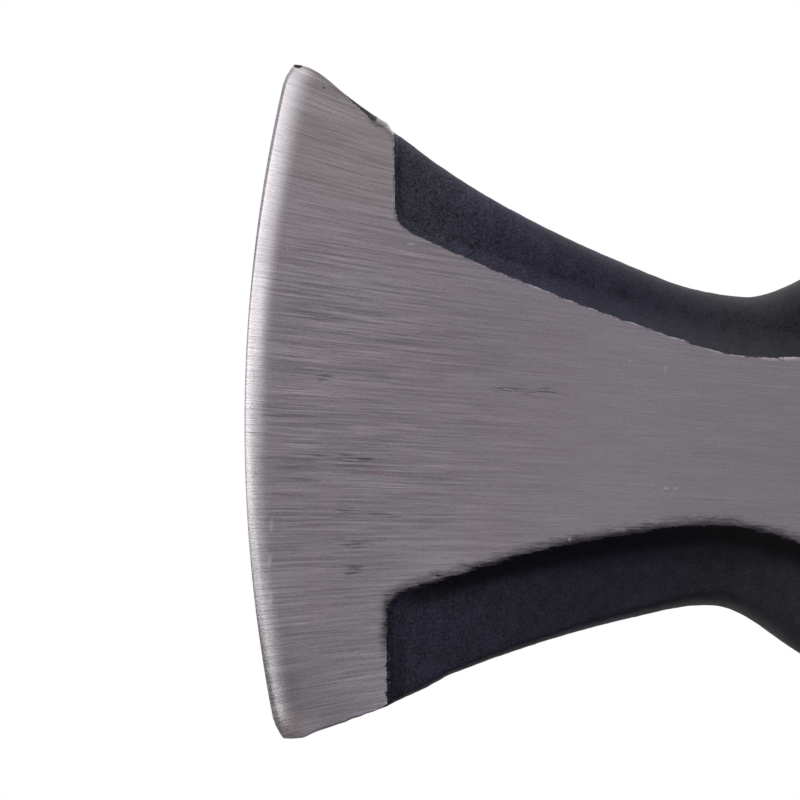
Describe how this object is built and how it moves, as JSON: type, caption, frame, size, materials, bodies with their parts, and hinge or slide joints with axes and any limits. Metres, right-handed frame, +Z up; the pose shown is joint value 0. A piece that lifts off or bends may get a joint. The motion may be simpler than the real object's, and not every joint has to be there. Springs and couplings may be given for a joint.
{
  "type": "splitting maul",
  "caption": "Splitting maul with a flared, ground wedge bit, a square hammer poll and a long oval wooden handle wedged through the eye.",
  "frame": {"origin": "centre of the handle's butt face", "axes": "+Z up the handle to the head, +X from the cutting edge to the poll face, +Y across the head to its right cheek"},
  "size_m": [0.198, 0.05, 0.8396],
  "materials": {
    "ground_steel": "satin",
    "black_coat": "matte",
    "hickory": "satin",
    "wedge_hardwood": "matte",
    "ring_steel": "satin",
    "collar_steel": "satin",
    "screw_steel": "satin"
  },
  "bodies": {
    "root": {"maul_head": "ground_steel", "handle": "hickory", "kerf_wedge": "wedge_hardwood", "ring_wedge": "ring_steel", "overstrike_collar": "collar_steel", "collar_screw_left_upper": "screw_steel", "collar_screw_left_lower": "screw_steel", "collar_screw_right_upper": "screw_steel", "collar_screw_right_lower": "screw_steel"}
  },
  "joints": []
}
